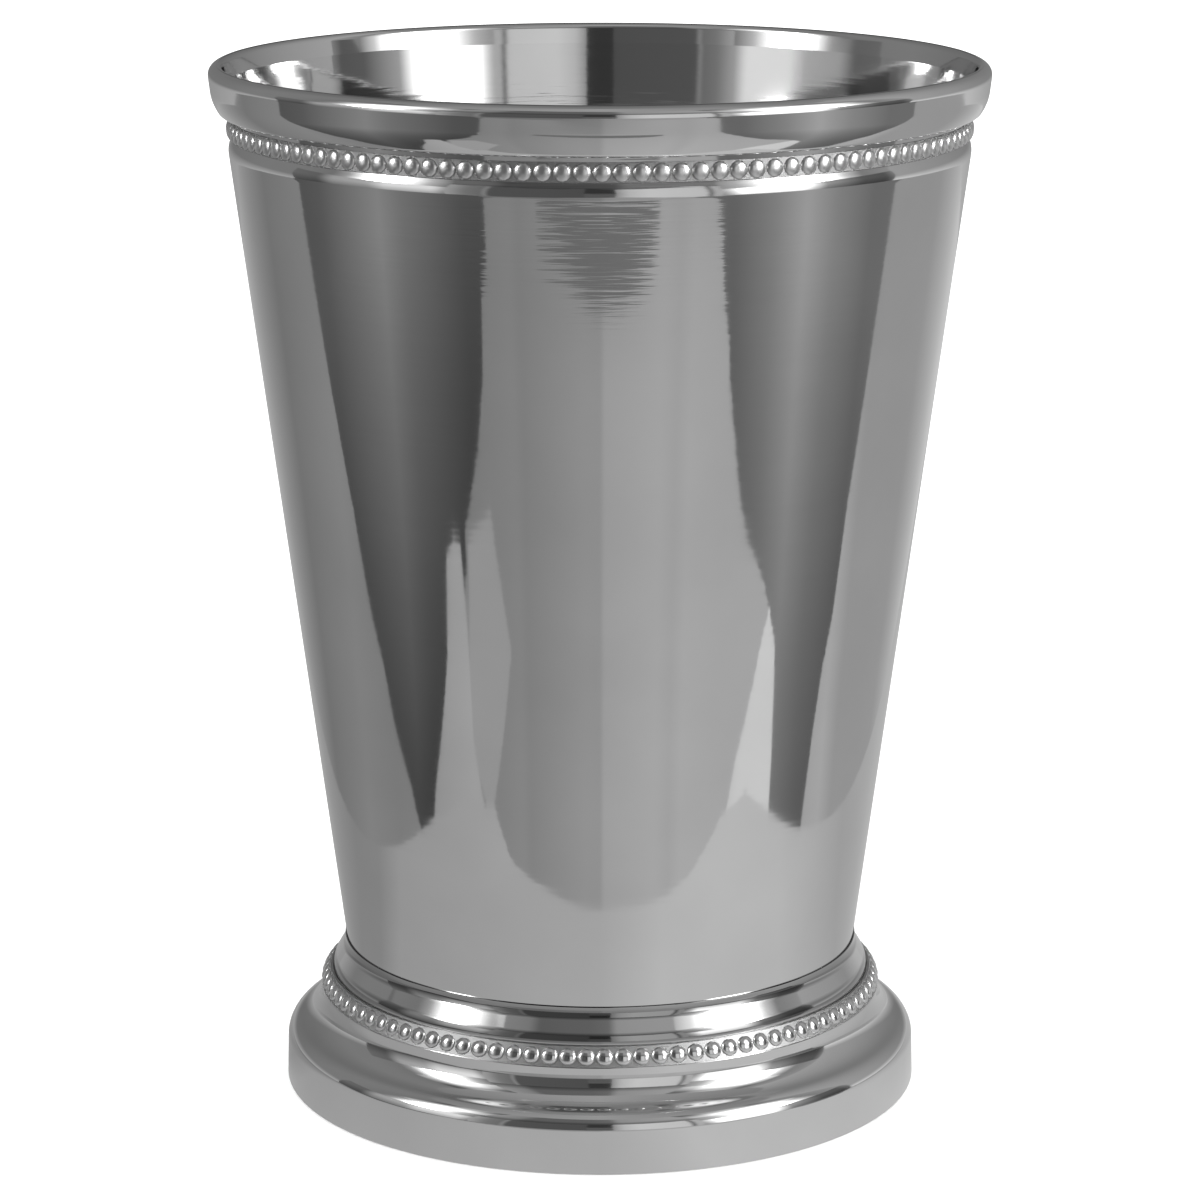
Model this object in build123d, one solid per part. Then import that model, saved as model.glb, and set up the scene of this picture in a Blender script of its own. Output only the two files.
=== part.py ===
from build123d import *
import math
import os

# A footed julep cup: a spun metal beaker with a moulded lip, a stepped foot
# and two rows of beaded wire, all soldered together.
# Millimetres. The cup's axis is Z and the surface that it stands on is z = 0.

# Overall heights
CUP_HEIGHT = 111.5
FOOT_HEIGHT = 16.0           # table to the top of the foot's collar

# Body: a straight cone outside, rounded over at a shoulder and necked in above it
SHOULDER_DIAMETER = 78.86    # the cone, at the level of the shoulder
WAIST_DIAMETER = 55.81       # the cone, at the top of the collar
WALL = 0.8
NECK_DEPTH = 1.3             # how far the neck steps in from the cone
NECK_ROOT = 1.6              # shoulder down to where the inside starts to widen
NECK_RUN = 6.0               # height over which the inside widens from neck to cone
SHOULDER_DRAW = 0.4          # how far the shoulder's edge draws in from the cone
SHOULDER_DROP = 0.71         # shoulder down to the corner that its rounding follows
SHOULDER_RADIUS = 2.75
FLOOR_CORNER_RADIUS = 2.5    # outside of the drawn corner under the floor

# Lip band: a crowned moulding that caps the neck
LIP_HEIGHT = 5.7
LIP_THICKNESS = 2.2          # outside the neck, at the top
LIP_CAP = 2.2                # solid metal over the edge of the neck
LIP_CROWN_DROP = 3.5         # top of the lip down to the middle of the crown
LIP_UPPER_DRAW = 0.42        # how much the band narrows from the top to there
LIP_LOWER_DRAW = 1.0         # and from there to its lower edge
LIP_CROWN_RADIUS = 8.0
LIP_INNER_RADIUS = 1.0
LIP_OUTER_RADIUS = 1.1
LIP_LOWER_RADIUS = 1.2

# Beaded wire: low domes on a strip whose face is turned up, the same beads for both rows
BEAD_DIAMETER = 1.88
BEAD_RELIEF = 0.4            # dome height over the strip
BEAD_SPACING = 0.089         # between neighbouring domes, measured over their tips
BEAD_ROOT = 0.2              # how deep a dome is rooted in the strip
BEAD_SIDES = 8
BEAD_BREAKS = (0.5, 0.93)    # where the dome's facets end, as shares of its relief
STRIP_THICKNESS = 0.75       # at the middle of its height
STRIP_MARGIN = 0.035         # strip above and below the domes
LIP_BEAD_SLOPE = 0.14        # how much the upper row's face draws in over its height
FOOT_BEAD_SLOPE = 0.5        # and the lower row's

# Foot: a collar with an ogee top, a ledge and an ogee step, hollow underneath
COLLAR_WALL = 1.445          # collar outside the body
COLLAR_RISE = 5.65           # collar above the ledge
COLLAR_EDGE = 0.12           # thickness of the collar's top edge
COLLAR_COVE_DROP = 1.2       # top edge down to the collar's hollow
COLLAR_COVE_RADIUS = 1.5
COLLAR_CROWN_DROP = 2.2      # top edge down to the collar's round
COLLAR_CROWN_RADIUS = 1.4
SOCKET_DEPTH = 5.0           # how deep the body stands in the collar
SEAT_WIDTH = 3.0             # flange under the flat of the body's floor
SEAT_THICKNESS = 1.95
RISER_DROP = 3.0             # ledge down to the inner corner of the tread
TREAD_WIDTH = 3.76
TREAD_FALL = 1.35
COVE_RADIUS = 3.3
FOOT_EDGE_RADIUS = 2.15
FOOT_FLARE = 0.15            # how much wider the foot's wall is at the table
FOOT_WALL = 1.3
RIM_WIDTH = 1.5              # the ring that the cup stands on
RIM_CHAMFER = 0.15

# Base plate: a dished disc that closes the foot
PLATE_RECESS = 1.6
PLATE_THICKNESS = 0.8
PLATE_LEDGE = 1.0            # ledge in the foot that the plate is soldered to
PLATE_DISH = 0.8

SOLDER_GAP = 0.05            # between curved faces that are soldered together
FILLET_ROOM = 0.99           # share of a side that its fillets may take up

# Levels and radii that follow from those sizes
strip_height = BEAD_DIAMETER + 2 * STRIP_MARGIN
lip_bottom = CUP_HEIGHT - LIP_HEIGHT
shoulder_level = lip_bottom - strip_height
neck_top = CUP_HEIGHT - LIP_CAP
ledge_level = FOOT_HEIGHT - COLLAR_RISE
floor_level = FOOT_HEIGHT - SOCKET_DEPTH
plate_top = PLATE_RECESS + PLATE_THICKNESS
cone_lean = (SHOULDER_DIAMETER - WAIST_DIAMETER) / 2 / (shoulder_level - FOOT_HEIGHT)
wall_across = WALL * math.hypot(1, cone_lean)
collar_radius = WAIST_DIAMETER / 2 + SOLDER_GAP + COLLAR_WALL
ledge_radius = collar_radius + SOLDER_GAP + STRIP_THICKNESS + FOOT_BEAD_SLOPE * strip_height / 2
tread_radius = ledge_radius + TREAD_WIDTH
foot_radius = tread_radius + FOOT_FLARE
plate_bore = foot_radius - RIM_WIDTH


def cone(level):
    """Outside radius of the body's cone at a height."""
    return WAIST_DIAMETER / 2 + cone_lean * (level - FOOT_HEIGHT)


def neck(level):
    """Outside radius of the neck at a height."""
    return cone(level) - NECK_DEPTH


def limited(points, radii):
    """Fillet radii, made smaller where two fillets have no room on the side between them."""
    count = len(points)
    taken = []
    for i in range(count):
        corner = Vector(*points[i])
        before = corner - Vector(*points[i - 1])
        after = Vector(*points[(i + 1) % count]) - corner
        taken.append(radii[i] * math.tan(math.radians(before.get_angle(after)) / 2))
    scales = [1.0] * count
    for i in range(count):
        j = (i + 1) % count
        room = FILLET_ROOM * math.dist(points[i], points[j])
        if taken[i] + taken[j] > room:
            scale = room / (taken[i] + taken[j])
            scales[i] = min(scales[i], scale)
            scales[j] = min(scales[j], scale)
    return [radius * scale for radius, scale in zip(radii, scales)]


def turned(*corners):
    """Solid of revolution about Z, from (radius, height) or (radius, height, fillet) corners."""
    points = [corner[:2] for corner in corners]
    radii = [corner[2] if len(corner) == 3 else 0 for corner in corners]
    with BuildPart() as part:
        with BuildSketch(Plane.XZ):
            with BuildLine():
                FilletPolyline(*points, radius=limited(points, radii), close=True)
            make_face()
        revolve(axis=Axis.Z)
    return part.part


def cup_body():
    """One spun shell: floor, cone, rounded shoulder and neck, thickened behind the shoulder."""
    floor_top = floor_level + WALL
    shoulder_corner = shoulder_level - SHOULDER_DROP
    widen_top = shoulder_level - NECK_ROOT
    widen_bottom = widen_top - NECK_RUN
    return turned(
        (0, floor_level),
        (cone(floor_level), floor_level, FLOOR_CORNER_RADIUS),
        (cone(shoulder_corner), shoulder_corner, SHOULDER_RADIUS),
        (cone(shoulder_level) - SHOULDER_DRAW, shoulder_level),
        (neck(shoulder_level), shoulder_level),
        (neck(neck_top), neck_top),
        (neck(neck_top) - wall_across, neck_top),
        (neck(widen_top) - wall_across, widen_top),
        (cone(widen_bottom) - wall_across, widen_bottom),
        (cone(floor_top) - wall_across, floor_top, max(FLOOR_CORNER_RADIUS - WALL, WALL)),
        (0, floor_top),
    )


def lip_band():
    """The lip, rabbeted to sit on the edge of the neck and round it, with a crowned face."""
    widest = neck(CUP_HEIGHT) + SOLDER_GAP + LIP_THICKNESS
    crown = widest - LIP_UPPER_DRAW
    return turned(
        (neck(neck_top) - wall_across, neck_top),
        (neck(CUP_HEIGHT) - wall_across, CUP_HEIGHT, LIP_INNER_RADIUS),
        (widest, CUP_HEIGHT, LIP_OUTER_RADIUS),
        (crown, CUP_HEIGHT - LIP_CROWN_DROP, LIP_CROWN_RADIUS),
        (crown - LIP_LOWER_DRAW, lip_bottom, LIP_LOWER_RADIUS),
        (neck(lip_bottom) + SOLDER_GAP, lip_bottom),
        (neck(neck_top) + SOLDER_GAP, neck_top),
    )


def bead(face_radius, level, slope):
    """One faceted dome that faces square out from the strip and is rooted in it."""
    outward = Vector(1, 0, slope).normalized()
    ball = ((BEAD_DIAMETER / 2) ** 2 + BEAD_RELIEF ** 2) / (2 * BEAD_RELIEF)
    heights = [-BEAD_ROOT, 0] + [share * BEAD_RELIEF for share in BEAD_BREAKS]
    sections = []
    for height in heights:
        above_centre = max(height, 0) + ball - BEAD_RELIEF
        centre = Vector(face_radius, 0, level) + outward * height
        plane = Plane(centre, x_dir=(0, 1, 0), z_dir=outward)
        radius = math.sqrt(ball ** 2 - above_centre ** 2)
        sections.append(plane * RegularPolygon(radius, BEAD_SIDES))
    return loft(sections, ruled=True)


def beading(bottom, bore_bottom, bore_lean, slope):
    """A ring of beaded wire round a seat that may lean outwards, with its face turned up."""
    top = bottom + strip_height
    bore_top = bore_bottom + bore_lean * strip_height
    face_radius = (bore_bottom + bore_top) / 2 + STRIP_THICKNESS
    draw = slope * strip_height / 2
    strip = turned(
        (bore_bottom, bottom),
        (face_radius + draw, bottom),
        (face_radius - draw, top),
        (bore_top, top),
    )
    tip_round = 2 * math.pi * (face_radius + BEAD_RELIEF / math.hypot(1, slope))
    count = round(tip_round / (BEAD_DIAMETER + BEAD_SPACING))
    dome = bead(face_radius, (bottom + top) / 2, slope)
    return strip + [Rot(0, 0, 360 * place / count) * dome for place in range(count)]


def foot():
    """The foot: the collar that holds the body, the ledge, the ogee step and the standing rim."""
    collar_cove = FOOT_HEIGHT - COLLAR_COVE_DROP
    collar_crown = FOOT_HEIGHT - COLLAR_CROWN_DROP
    tread_inner = ledge_level - RISER_DROP
    tread_outer = tread_inner - TREAD_FALL
    seat_bottom = floor_level - SEAT_THICKNESS
    seat_bore = cone(floor_level) - FLOOR_CORNER_RADIUS - SEAT_WIDTH
    cavity_inner = collar_radius - FOOT_WALL
    cavity_outer = plate_bore - PLATE_LEDGE
    return turned(
        (cone(floor_level) + SOLDER_GAP, floor_level),
        (cone(FOOT_HEIGHT) + SOLDER_GAP, FOOT_HEIGHT),
        (cone(FOOT_HEIGHT) + SOLDER_GAP + COLLAR_EDGE, FOOT_HEIGHT),
        (cone(collar_cove) + SOLDER_GAP + COLLAR_EDGE, collar_cove, COLLAR_COVE_RADIUS),
        (collar_radius, collar_crown, COLLAR_CROWN_RADIUS),
        (collar_radius, ledge_level),
        (ledge_radius, ledge_level),
        (ledge_radius, tread_inner, COVE_RADIUS),
        (tread_radius, tread_outer, FOOT_EDGE_RADIUS),
        (foot_radius, RIM_CHAMFER),
        (foot_radius - RIM_CHAMFER, 0),
        (plate_bore, 0),
        (plate_bore, plate_top),
        (cavity_outer, plate_top),
        (cavity_outer, tread_outer - FOOT_WALL),
        (cavity_inner, tread_inner - FOOT_WALL),
        (cavity_inner, seat_bottom),
        (seat_bore, seat_bottom),
        (seat_bore, floor_level),
    )


def base_plate():
    """A disc with a flat edge and a dished middle."""
    edge = plate_bore - SOLDER_GAP
    middle = plate_bore - 2 * PLATE_LEDGE
    return turned(
        (0, PLATE_RECESS + PLATE_DISH),
        (middle, PLATE_RECESS),
        (edge, PLATE_RECESS),
        (edge, plate_top),
        (middle, plate_top),
        (0, plate_top + PLATE_DISH),
    )


pieces = {
    "cup_body": cup_body(),
    "lip_band": lip_band(),
    "lip_beading": beading(shoulder_level, neck(shoulder_level) + SOLDER_GAP, cone_lean, LIP_BEAD_SLOPE),
    "foot": foot(),
    "foot_beading": beading(ledge_level, collar_radius + SOLDER_GAP, 0, FOOT_BEAD_SLOPE),
    "base_plate": base_plate(),
}

os.makedirs("parts", exist_ok=True)
for name, solid in pieces.items():
    export_step(solid, f"parts/{name}.step")
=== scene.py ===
"""Looks for a julep cup: a spun metal beaker with a moulded lip, beaded wire and a turned foot."""
import math
from functools import partial

import bmesh
import bpy
from bpy.props import FloatProperty, FloatVectorProperty, IntProperty, PointerProperty
from bpy.types import Operator, Panel, PropertyGroup
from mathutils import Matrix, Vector


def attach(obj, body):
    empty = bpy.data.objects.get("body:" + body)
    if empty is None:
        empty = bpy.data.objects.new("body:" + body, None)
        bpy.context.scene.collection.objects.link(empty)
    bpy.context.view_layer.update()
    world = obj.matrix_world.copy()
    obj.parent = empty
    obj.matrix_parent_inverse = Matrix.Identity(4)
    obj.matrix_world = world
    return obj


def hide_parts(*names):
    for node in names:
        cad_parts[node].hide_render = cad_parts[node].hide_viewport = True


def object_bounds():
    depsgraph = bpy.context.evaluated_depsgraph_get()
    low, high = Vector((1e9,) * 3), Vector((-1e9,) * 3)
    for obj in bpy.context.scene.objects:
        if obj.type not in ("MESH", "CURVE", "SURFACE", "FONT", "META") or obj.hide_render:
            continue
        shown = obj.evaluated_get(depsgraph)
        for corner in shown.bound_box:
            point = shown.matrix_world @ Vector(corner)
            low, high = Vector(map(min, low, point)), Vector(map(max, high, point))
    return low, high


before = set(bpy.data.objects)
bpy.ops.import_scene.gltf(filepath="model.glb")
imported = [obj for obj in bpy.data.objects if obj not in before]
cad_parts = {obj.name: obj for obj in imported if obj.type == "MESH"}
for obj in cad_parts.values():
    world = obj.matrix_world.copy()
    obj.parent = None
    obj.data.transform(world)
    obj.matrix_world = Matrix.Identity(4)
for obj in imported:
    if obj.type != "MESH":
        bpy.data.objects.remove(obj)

bl_info = {
    "name": "Julep cup",
    "version": (1, 0, 0),
    "blender": (4, 5, 0),
    "location": "3D View > Sidebar > Julep cup",
    "description": "Turned body, lip, beaded wire, foot and base plate of a julep cup, with a studio",
    "category": "Add Mesh",
}

MM = 0.001
CAD_BOX = [list(corner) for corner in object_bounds()]
CUP_HEIGHT = CAD_BOX[1][2]

# How finely the outlines are divided
ARC_STEP = math.radians(6)
SUPPORT = 0.12 * MM           # a ring this near to each fillet keeps the reflections next to it straight
SHORT_SIDE = 4 * SUPPORT      # a side shorter than this isn't divided
JOIN = 0.002 * MM             # points nearer than this are one point
SHARP = math.radians(40)      # an edge sharper than this stays a crisp line
DRUM_DEPTH = 1.0              # of the drum that is drawn into a bead's dome
ROOT_LATITUDE = math.radians(-5)   # the first ring of that dome, just inside the strip
TIP_LATITUDE = math.radians(80)    # the last one, near its tip

# Values for nodes
FLATTEN = (1.0, 1.0, 0.0)     # times a place, leaves its way out from the axis
NOISE_MIDDLE = 0.5
NOISE_SPAN = (0.3, 0.7)       # noise mostly keeps between these
MIX_A, MIX_B, MIX_RESULT = 6, 7, 2   # the colour sockets of a Mix node


# Colours, nodes and properties

def linear(code):
    """Linear colour from an sRGB hex value."""
    channels = [int(code[i:i + 2], 16) / 255 for i in (1, 3, 5)]
    return [c / 12.92 if c <= 0.04045 else ((c + 0.055) / 1.055) ** 2.4 for c in channels]


def feed(node, feeds):
    """Link sockets to a node's inputs, or set plain values there, by input name or index.
    A node stands for its first output."""
    for key, value in feeds.items():
        if isinstance(value, bpy.types.Node):
            value = value.outputs[0]
        if isinstance(value, bpy.types.NodeSocket):
            node.id_data.links.new(value, node.inputs[key])
        else:
            node.inputs[key].default_value = value


def add_node(tree, kind, feeds=None, **settings):
    """Add a node with its settings, and feed its inputs."""
    node = tree.nodes.new(kind)
    for name, value in settings.items():
        setattr(node, name, value)
    feed(node, feeds or {})
    return node


def calc(add, operation, *values, **settings):
    """A Math node on sockets or plain values."""
    return add("ShaderNodeMath", dict(enumerate(values)), operation=operation, **settings)


def mapped(add, value, span, result=(0.0, 1.0)):
    """Map a value's span to the result, and hold the result's ends beyond it."""
    return add("ShaderNodeMapRange", {
        "Value": value, "From Min": span[0], "From Max": span[1], "To Min": result[0], "To Max": result[1]})


def length(name, description, size):
    """A length property with its default given in millimetres."""
    return FloatProperty(name=name, description=description, default=size * MM, min=0, precision=5,
                         subtype="DISTANCE", unit="LENGTH")


def number(name, description, value):
    """A plain number property."""
    return FloatProperty(name=name, description=description, default=value)


def degrees(name, description, value):
    """An angle property with its default given in degrees."""
    return FloatProperty(name=name, description=description, default=math.radians(value),
                         subtype="ANGLE", unit="ROTATION")


def counted(name, description, value, least):
    """A property for a number of things."""
    return IntProperty(name=name, description=description, default=value, min=least)


def colour(name, description, code):
    """A colour property with its default given as an sRGB hex value."""
    return FloatVectorProperty(name=name, description=description, default=linear(code), min=0, max=1,
                               size=3, subtype="COLOR")


# Sizes and colours that a user would change

class JulepBodySizes(PropertyGroup):
    cup_height: length("Cup height", "Table to the top of the lip", CUP_HEIGHT / MM)
    shoulder_diameter: length("Shoulder diameter", "The cone at the level of the shoulder", 78.86)
    waist_diameter: length("Waist diameter", "The cone at the top of the foot's collar", 55.81)
    wall: length("Wall", "Thickness of the spun sheet", 0.8)
    neck_depth: length("Neck depth", "How far the neck steps in from the cone", 0.74)
    shoulder_draw: length("Shoulder draw", "How far the shoulder's edge draws in from the cone", 0.52)
    shoulder_drop: length("Shoulder drop", "Shoulder down to the corner that its rounding follows", 1.1)
    shoulder_radius: length("Shoulder radius", "Rounding of the shoulder under the beads", 2.75)
    floor_radius: length("Floor radius", "Outside rounding of the corner under the floor", 2.5)
    ring_spacing: length("Ring spacing", "Distance between the mesh rings of the cone", 1.5)
    waver: length("Waver", "How far the spun wall strays from a true cone", 0.008)
    waver_length: length("Waver length", "Distance over which the spun wall strays", 24.0)
    segments: counted("Segments", "Faces round each turned piece", 288, 24)


class JulepLipSizes(PropertyGroup):
    height: length("Lip height", "Height of the lip band", 5.15)
    groove: length("Groove", "Neck that shows between the lip and the beads", 0.55)
    thickness: length("Lip thickness", "Band outside the neck, at the top", 1.64)
    edge: length("Rim edge", "Width of the lip's top, before its edges are rounded", 1.6)
    cap: length("Lip cap", "Solid metal over the edge of the neck", 2.2)
    crown_drop: length("Crown drop", "Top of the lip down to the middle of its crown", 3.75)
    upper_draw: length("Upper draw", "How much the band narrows from the top to there", 0.45)
    lower_draw: length("Lower draw", "And from there to its lower edge", 0.84)
    crown_radius: length("Crown radius", "Rounding of the band's face", 4.5)
    inner_radius: length("Inner radius", "Rounding of the lip towards the drink", 0.7)
    outer_radius: length("Outer radius", "Rounding of the lip's outer top edge", 1.1)
    lower_radius: length("Lower radius", "Rounding of the band's lower edge", 0.7)
    gap: length("Solder gap", "Solder between curved faces", 0.05)


class JulepBeadSizes(PropertyGroup):
    diameter: length("Bead diameter", "Width of a bead where it leaves the strip", 1.88)
    relief: length("Relief", "Height of a bead over the strip", 0.4)
    spacing: length("Bead spacing", "Between neighbouring beads, over their tips", 0.089)
    margin: length("Strip margin", "Strip above and below the beads", 0.035)
    # Painted shade: how much of the darker colour the strip behind the beads takes
    sunken: number("Sunken", "How deep the strip lies in the hollows, from 0 to 1", 1.0)
    sides: counted("Bead sides", "Faces round each bead", 12, 6)
    rows: counted("Bead rows", "Rows of faces from a bead's root to its tip", 4, 2)


class JulepLipRow(PropertyGroup):
    strip: length("Strip", "Strip behind the upper beads, at the middle of its height", 0.19)
    slope: number("Slope", "How much the row's face draws in over its height", 0.06)
    turn: degrees("Turn", "How far the row is turned round the cup", -89.7)
    dulled: number("Dulled", "How little the polishing cloth reaches the beads, from 0 to 1", 0.75)


class JulepFootRow(PropertyGroup):
    strip: length("Strip", "Strip behind the lower beads, at the middle of its height", 0.75)
    slope: number("Slope", "How much the row's face draws in over its height", 0.5)
    turn: degrees("Turn", "How far the row is turned round the cup", -89.05)
    dulled: number("Dulled", "How little the polishing cloth reaches the beads, from 0 to 1", 0.1)


class JulepFootSizes(PropertyGroup):
    height: length("Foot height", "Table to the top of the collar", 16.0)
    collar_wall: length("Collar wall", "Collar outside the body", 1.445)
    collar_rise: length("Collar rise", "Collar above the ledge", 5.65)
    collar_edge: length("Collar edge", "Thickness of the collar's top edge", 0.12)
    collar_cove_drop: length("Collar cove drop", "Top edge down to the collar's hollow", 0.7)
    collar_cove_radius: length("Collar cove radius", "Rounding of that hollow", 1.7)
    collar_crown_drop: length("Collar crown drop", "Top edge down to the collar's round", 3.0)
    collar_crown_radius: length("Collar crown radius", "Rounding of that round", 2.0)
    socket_depth: length("Socket depth", "How deep the body stands in the collar", 5.0)
    seat_width: length("Seat width", "Flange under the flat of the body's floor", 3.0)
    seat_thickness: length("Seat thickness", "Thickness of that flange", 1.95)
    riser_drop: length("Riser drop", "Ledge down to the inner corner of the tread", 3.0)
    tread_width: length("Tread width", "Width of the sloping step", 3.76)
    tread_fall: length("Tread fall", "How far the step falls outwards", 1.35)
    cove_radius: length("Cove radius", "Hollow between riser and tread", 3.3)
    edge_radius: length("Edge radius", "Rounding from the tread to the wall", 2.15)
    flare: length("Flare", "How much wider the wall is at the table", 0.15)
    wall: length("Foot wall", "Thickness of the foot's metal", 1.3)
    rim_width: length("Rim width", "Width of the ring that the cup stands on", 1.5)
    rim_chamfer: length("Rim chamfer", "Bevel at the bottom of the wall", 0.15)
    polish_radius: length("Polish radius", "Softening that polishing gives every other edge", 0.12)


class JulepPlateSizes(PropertyGroup):
    recess: length("Plate recess", "Table to the plate's edge", 1.6)
    thickness: length("Plate thickness", "Thickness of the disc", 0.8)
    ledge: length("Plate ledge", "Ledge in the foot that the plate is soldered to", 1.0)
    flat: length("Plate flat", "Foot's bore to the start of the dish", 2.0)
    dish: length("Plate dish", "How far the disc rises to its middle", 0.8)
    dish_radius: length("Dish radius", "Rounding between the flat and the dish", 4.0)


class JulepFinish(PropertyGroup):
    body_nickel: colour("Body nickel", "Polished plate on the spun body", "#D2D2D2")
    trim_nickel: colour("Trim nickel", "Polished plate on the lip, beads and foot", "#D6D6D6")
    base_nickel: colour("Base nickel", "Satin plate under the foot", "#C2C2C1")
    # Painted shade: this darker colour stands for shade between the beads and in the collar's joints
    hollow_shade: colour("Hollow_shade", "Darkened plate in the hollows between the beads", "#6D6D6D")
    paper: colour("Floor paper", "The pale floor that the cup stands on", "#FFFFFF")


class JulepStudio(PropertyGroup):
    camera_distance: length("Camera distance", "Cup's axis to the camera, along the floor", 457.34)
    camera_height: length("Camera height", "Floor to the camera", 160.67)
    camera_tilt: degrees("Camera tilt", "How far the camera looks down", 13.24)
    focal_length: FloatProperty(name="Focal length", description="Lens on a 36 mm wide sensor",
                                default=129.88, min=1, unit="CAMERA")
    wall_distance: length("Wall distance", "Cup's axis to the panels round it", 560.0)


def sizes(name):
    """One of the property groups on the scene."""
    return getattr(bpy.context.scene, "julep_" + name)


# Outlines of the turned pieces: (radius, height, fillet) corners in metres

def cone(level):
    """Outside radius of the body's cone at a height."""
    body, foot = sizes("body"), sizes("foot")
    rise = (level - foot.height) / (shoulder_level() - foot.height)
    return (body.waist_diameter + (body.shoulder_diameter - body.waist_diameter) * rise) / 2


def neck(level):
    """Outside radius of the neck at a height."""
    return cone(level) - sizes("body").neck_depth


def cone_lean():
    """How much the cone widens for each metre of height."""
    return cone(1) - cone(0)


def wall_across():
    """The wall's thickness, measured level."""
    return sizes("body").wall * math.hypot(1, cone_lean())


def strip_height():
    """Height of the strip that carries the beads."""
    beads = sizes("beads")
    return beads.diameter + 2 * beads.margin


def shoulder_level():
    """Height of the shoulder that the upper beading stands on."""
    lip = sizes("lip")
    return sizes("body").cup_height - lip.height - lip.groove - strip_height()


def collar_radius():
    """Outside radius of the foot's collar."""
    return sizes("body").waist_diameter / 2 + sizes("lip").gap + sizes("foot").collar_wall


def foot_radius():
    """Outside radius of the foot at the table."""
    row, foot = sizes("foot_row"), sizes("foot")
    ledge = collar_radius() + sizes("lip").gap + row.strip + row.slope * strip_height() / 2
    return ledge + foot.tread_width + foot.flare


def body_corners():
    """Floor, cone, shoulder and neck, from the axis outside to the axis inside."""
    body, foot, lip = sizes("body"), sizes("foot"), sizes("lip")
    floor = foot.height - foot.socket_depth
    floor_top = floor + body.wall
    shoulder = shoulder_level()
    corner = shoulder - body.shoulder_drop
    top = body.cup_height - lip.cap
    inside = wall_across()
    return [
        (0, floor, 0),
        (cone(floor), floor, body.floor_radius),
        (cone(corner), corner, body.shoulder_radius),
        (cone(shoulder) - body.shoulder_draw, shoulder, 0),
        (neck(shoulder), shoulder, 0),
        (neck(top), top, 0),
        (cone(top) - inside, top, 0),
        (cone(floor_top) - inside, floor_top, body.floor_radius - body.wall),
        (0, floor_top, 0),
    ]


def lip_corners():
    """The lip, rabbeted to sit on the edge of the neck and round it, with a crowned face."""
    body, lip = sizes("body"), sizes("lip")
    top, cap, bottom = body.cup_height, body.cup_height - lip.cap, body.cup_height - lip.height
    inside = wall_across()
    widest = neck(top) + lip.gap + lip.thickness
    crown = widest - lip.upper_draw
    return [
        (cone(cap) - inside, cap, 0),
        (widest - lip.edge, top, lip.inner_radius),
        (widest, top, lip.outer_radius),
        (crown, top - lip.crown_drop, lip.crown_radius),
        (crown - lip.lower_draw, bottom, lip.lower_radius),
        (neck(bottom) + lip.gap, bottom, 0),
        (neck(cap) + lip.gap, cap, 0),
    ]


def foot_corners():
    """The collar that holds the body, the ledge, the ogee step, the standing rim and the hollow inside."""
    body, lip, foot, plate = (sizes(name) for name in ("body", "lip", "foot", "plate"))
    floor = foot.height - foot.socket_depth
    ledge = foot.height - foot.collar_rise
    tread_in = ledge - foot.riser_drop
    tread_out = tread_in - foot.tread_fall
    seat = floor - foot.seat_thickness
    cove = foot.height - foot.collar_cove_drop
    edge = lip.gap + foot.collar_edge
    outer = foot_radius()
    tread = outer - foot.flare
    riser = tread - foot.tread_width
    bore = outer - foot.rim_width
    hollow = bore - plate.ledge
    plate_top = plate.recess + plate.thickness
    seat_bore = cone(floor) - body.floor_radius - foot.seat_width
    inner = collar_radius() - foot.wall
    soft = foot.polish_radius
    return [
        (cone(floor) + lip.gap, floor, 0),
        (cone(foot.height) + lip.gap, foot.height, 0),
        (cone(foot.height) + edge, foot.height, 0),
        (cone(cove) + edge, cove, foot.collar_cove_radius),
        (collar_radius(), foot.height - foot.collar_crown_drop, foot.collar_crown_radius),
        (collar_radius(), ledge, 0),
        (riser, ledge, soft),
        (riser, tread_in, foot.cove_radius),
        (tread, tread_out, foot.edge_radius),
        (outer, foot.rim_chamfer, soft),
        (outer - foot.rim_chamfer, 0, soft),
        (bore, 0, soft),
        (bore, plate_top, 0),
        (hollow, plate_top, soft),
        (hollow, tread_out - foot.wall, 0),
        (inner, tread_in - foot.wall, 0),
        (inner, seat, 0),
        (seat_bore, seat, soft),
        (seat_bore, floor, 0),
    ]


def plate_corners():
    """A disc with a flat edge and a dished middle, from the axis below to the axis above."""
    plate, foot, lip = sizes("plate"), sizes("foot"), sizes("lip")
    bore = foot_radius() - foot.rim_width
    edge, middle = bore - lip.gap, bore - plate.flat
    top = plate.recess + plate.thickness
    return [
        (0, plate.recess + plate.dish, 0),
        (middle, plate.recess, plate.dish_radius),
        (edge, plate.recess, foot.polish_radius),
        (edge, top, 0),
        (middle, top, 0),
        (0, top + plate.dish, 0),
    ]


def strip_corners(bottom, bore, bore_lean, thickness, slope):
    """Cross-section of the strip that carries the beads, its face turned up by the slope."""
    high = strip_height()
    face = bore + bore_lean * high / 2 + thickness
    draw = slope * high / 2
    return [
        (bore, bottom, 0),
        (face + draw, bottom, 0),
        (face - draw, bottom + high, 0),
        (bore + bore_lean * high, bottom + high, 0),
    ]


def fillet(before, corner, after, radius):
    """Points of the arc that rounds a corner."""
    back, on = (before - corner).normalized(), (after - corner).normalized()
    half = back.angle(on) / 2
    centre = corner + (back + on).normalized() * radius / math.sin(half)
    first = corner + back * radius / math.tan(half) - centre
    turn = math.pi - 2 * half
    side = 1 if back.x * on.y - back.y * on.x < 0 else -1
    steps = max(2, math.ceil(turn / ARC_STEP))
    points = []
    for step in range(steps + 1):
        angle = side * turn * step / steps
        swung = Vector((first.x * math.cos(angle) - first.y * math.sin(angle),
                        first.x * math.sin(angle) + first.y * math.cos(angle)))
        points.append(centre + swung)
    return points


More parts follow.
